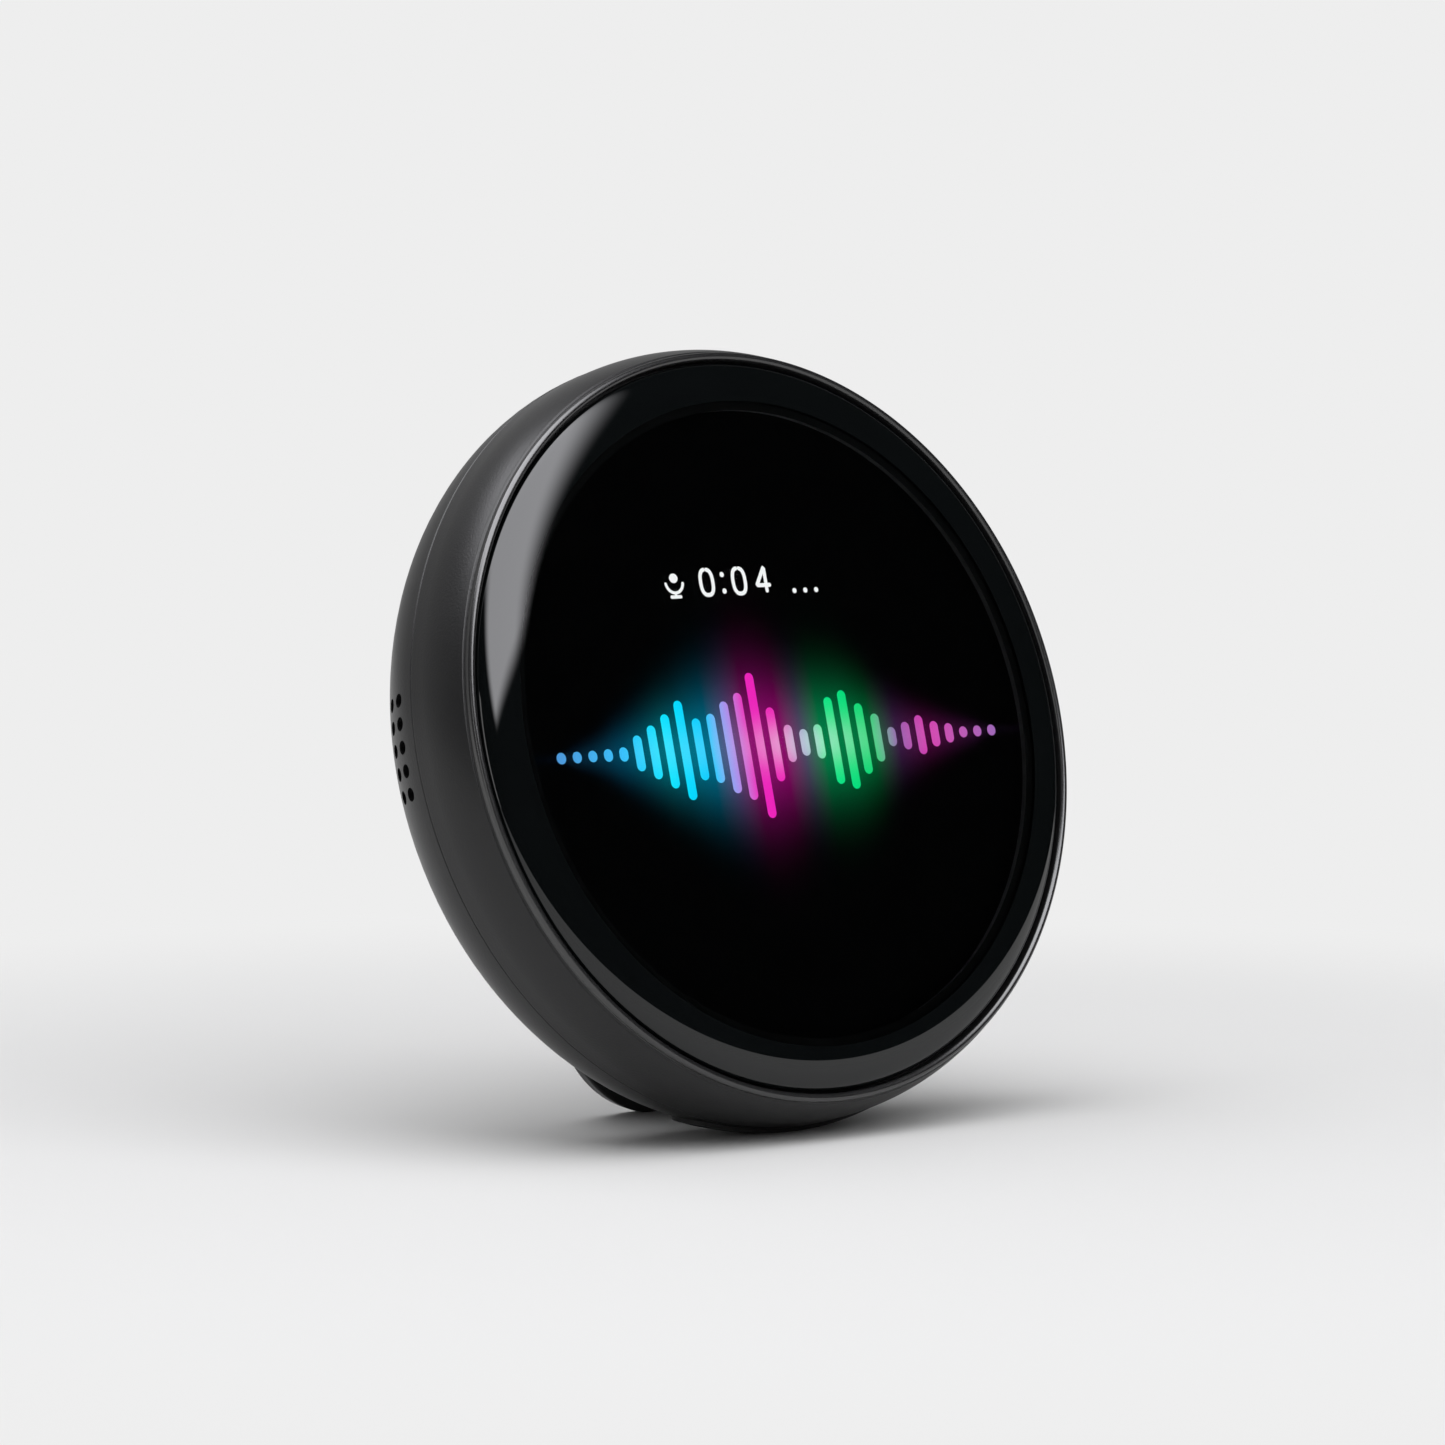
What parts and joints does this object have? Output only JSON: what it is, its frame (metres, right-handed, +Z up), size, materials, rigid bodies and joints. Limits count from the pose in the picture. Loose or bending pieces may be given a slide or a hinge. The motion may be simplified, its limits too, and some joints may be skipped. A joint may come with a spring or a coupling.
{
  "type": "smart speaker",
  "caption": "Round black smart speaker with a domed glass touch screen, leaning back on a lower foot and a fold-out stand.",
  "frame": {"origin": "on the ground, at the middle of the bounding box's bottom face", "axes": "+Z up; the screen faces -Y and leans back; +X is the viewer's right"},
  "size_m": [0.1266, 0.0578, 0.1246],
  "materials": {
    "housing": "fine textured matt black",
    "rear_housing": "fine textured matt black",
    "stand_plastic": "fine textured matt black",
    "key_plastic": "smooth satin black",
    "cover_glass": "polished, black-bordered",
    "screen": "black panel with a lit picture",
    "adhesive": "black foam tape",
    "tray_metal": "pressed, satin",
    "foam": "open foam",
    "ribbon_film": "amber polyimide film",
    "frame_plastic": "moulded, plain",
    "screw_steel": "black oxide steel",
    "board": "green solder mask",
    "chip": "moulded epoxy",
    "socket_plastic": "ivory nylon",
    "shield_metal": "tinned sheet",
    "thermal_pad": "soft silicone",
    "rubber": "matt black rubber",
    "pin_steel": "ground steel",
    "washer_nylon": "natural nylon",
    "switch_metal": "tinned sheet",
    "battery_foil": "laminated foil pouch",
    "wire": "PVC insulation",
    "socket_steel": "nickel plated",
    "magnet_steel": "zinc plated",
    "cone_paper": "pressed black pulp",
    "surround_rubber": "soft rubber roll",
    "mesh_cloth": "fine woven acoustic mesh"
  },
  "bodies": {
    "body": {"cover_glass": "cover_glass", "glass_adhesive_ring": "adhesive", "display_gasket": "foam", "display_panel": "screen", "backlight_tray": "tray_metal", "display_cushion": "foam", "display_ribbon": "ribbon_film", "front_ring": "housing", "middle_frame": "frame_plastic", "middle_frame_screws": "screw_steel", "main_board": "board", "board_screws": "screw_steel", "board_chips": "chip", "board_sockets": "socket_plastic", "processor_shield": "shield_metal", "wireless_shield": "shield_metal", "thermal_pad": "thermal_pad", "antenna": "ribbon_film", "rear_shell": "rear_housing", "lower_foot": "rubber", "housing_screws": "screw_steel", "hinge_pin": "pin_steel", "hinge_washers": "washer_nylon", "button_board": "board", "button_switches": "switch_metal", "button_ribbon": "ribbon_film", "microphones": "shield_metal", "microphone_boots": "rubber", "battery": "battery_foil", "battery_cradle": "frame_plastic", "battery_lead": "wire", "power_board": "board", "power_board_screws": "screw_steel", "power_ribbon": "ribbon_film", "usb_socket": "socket_steel", "left_speaker_frame": "frame_plastic", "left_speaker_magnet": "magnet_steel", "left_speaker_surround": "surround_rubber", "left_speaker_lead": "wire", "left_sound_duct": "frame_plastic", "left_grille_mesh": "mesh_cloth", "right_speaker_frame": "frame_plastic", "right_speaker_magnet": "magnet_steel", "right_speaker_surround": "surround_rubber", "right_speaker_lead": "wire", "right_sound_duct": "frame_plastic", "right_grille_mesh": "mesh_cloth"},
    "stand": {"stand_flap": "stand_plastic", "stand_pad": "rubber"},
    "volume_down_key": {"volume_down_button": "key_plastic"},
    "mute_key": {"mute_button": "key_plastic"},
    "volume_up_key": {"volume_up_button": "key_plastic"},
    "left_cone": {"left_speaker_cone": "cone_paper"},
    "right_cone": {"right_speaker_cone": "cone_paper"}
  },
  "joints": [
    {"name": "stand_fold", "type": "hinge", "parent": "body", "child": "stand", "pos_m": [0, 0.01204, 0.0503], "axis": [-1, 0, 0], "range_deg": [0, 21.3]},
    {"name": "volume_down_press", "type": "slide", "parent": "body", "child": "volume_down_key", "axis": [0, -0.673, -0.7396], "range_m": [0, 0.0004], "stiffness_N_per_m": 1500, "springref_m": -0.0002},
    {"name": "mute_press", "type": "slide", "parent": "body", "child": "mute_key", "axis": [0, -0.673, -0.7396], "range_m": [0, 0.0004], "stiffness_N_per_m": 1500, "springref_m": -0.0002},
    {"name": "volume_up_press", "type": "slide", "parent": "body", "child": "volume_up_key", "axis": [0, -0.673, -0.7396], "range_m": [0, 0.0004], "stiffness_N_per_m": 1500, "springref_m": -0.0002},
    {"name": "left_cone_travel", "type": "slide", "parent": "body", "child": "left_cone", "axis": [1, 0, 0], "range_m": [-0.0005, 0.0005], "stiffness_N_per_m": 1000, "deforming": ["left_speaker_surround"]},
    {"name": "right_cone_travel", "type": "slide", "parent": "body", "child": "right_cone", "axis": [1, 0, 0], "range_m": [-0.0005, 0.0005], "stiffness_N_per_m": 1000, "deforming": ["right_speaker_surround"]}
  ]
}
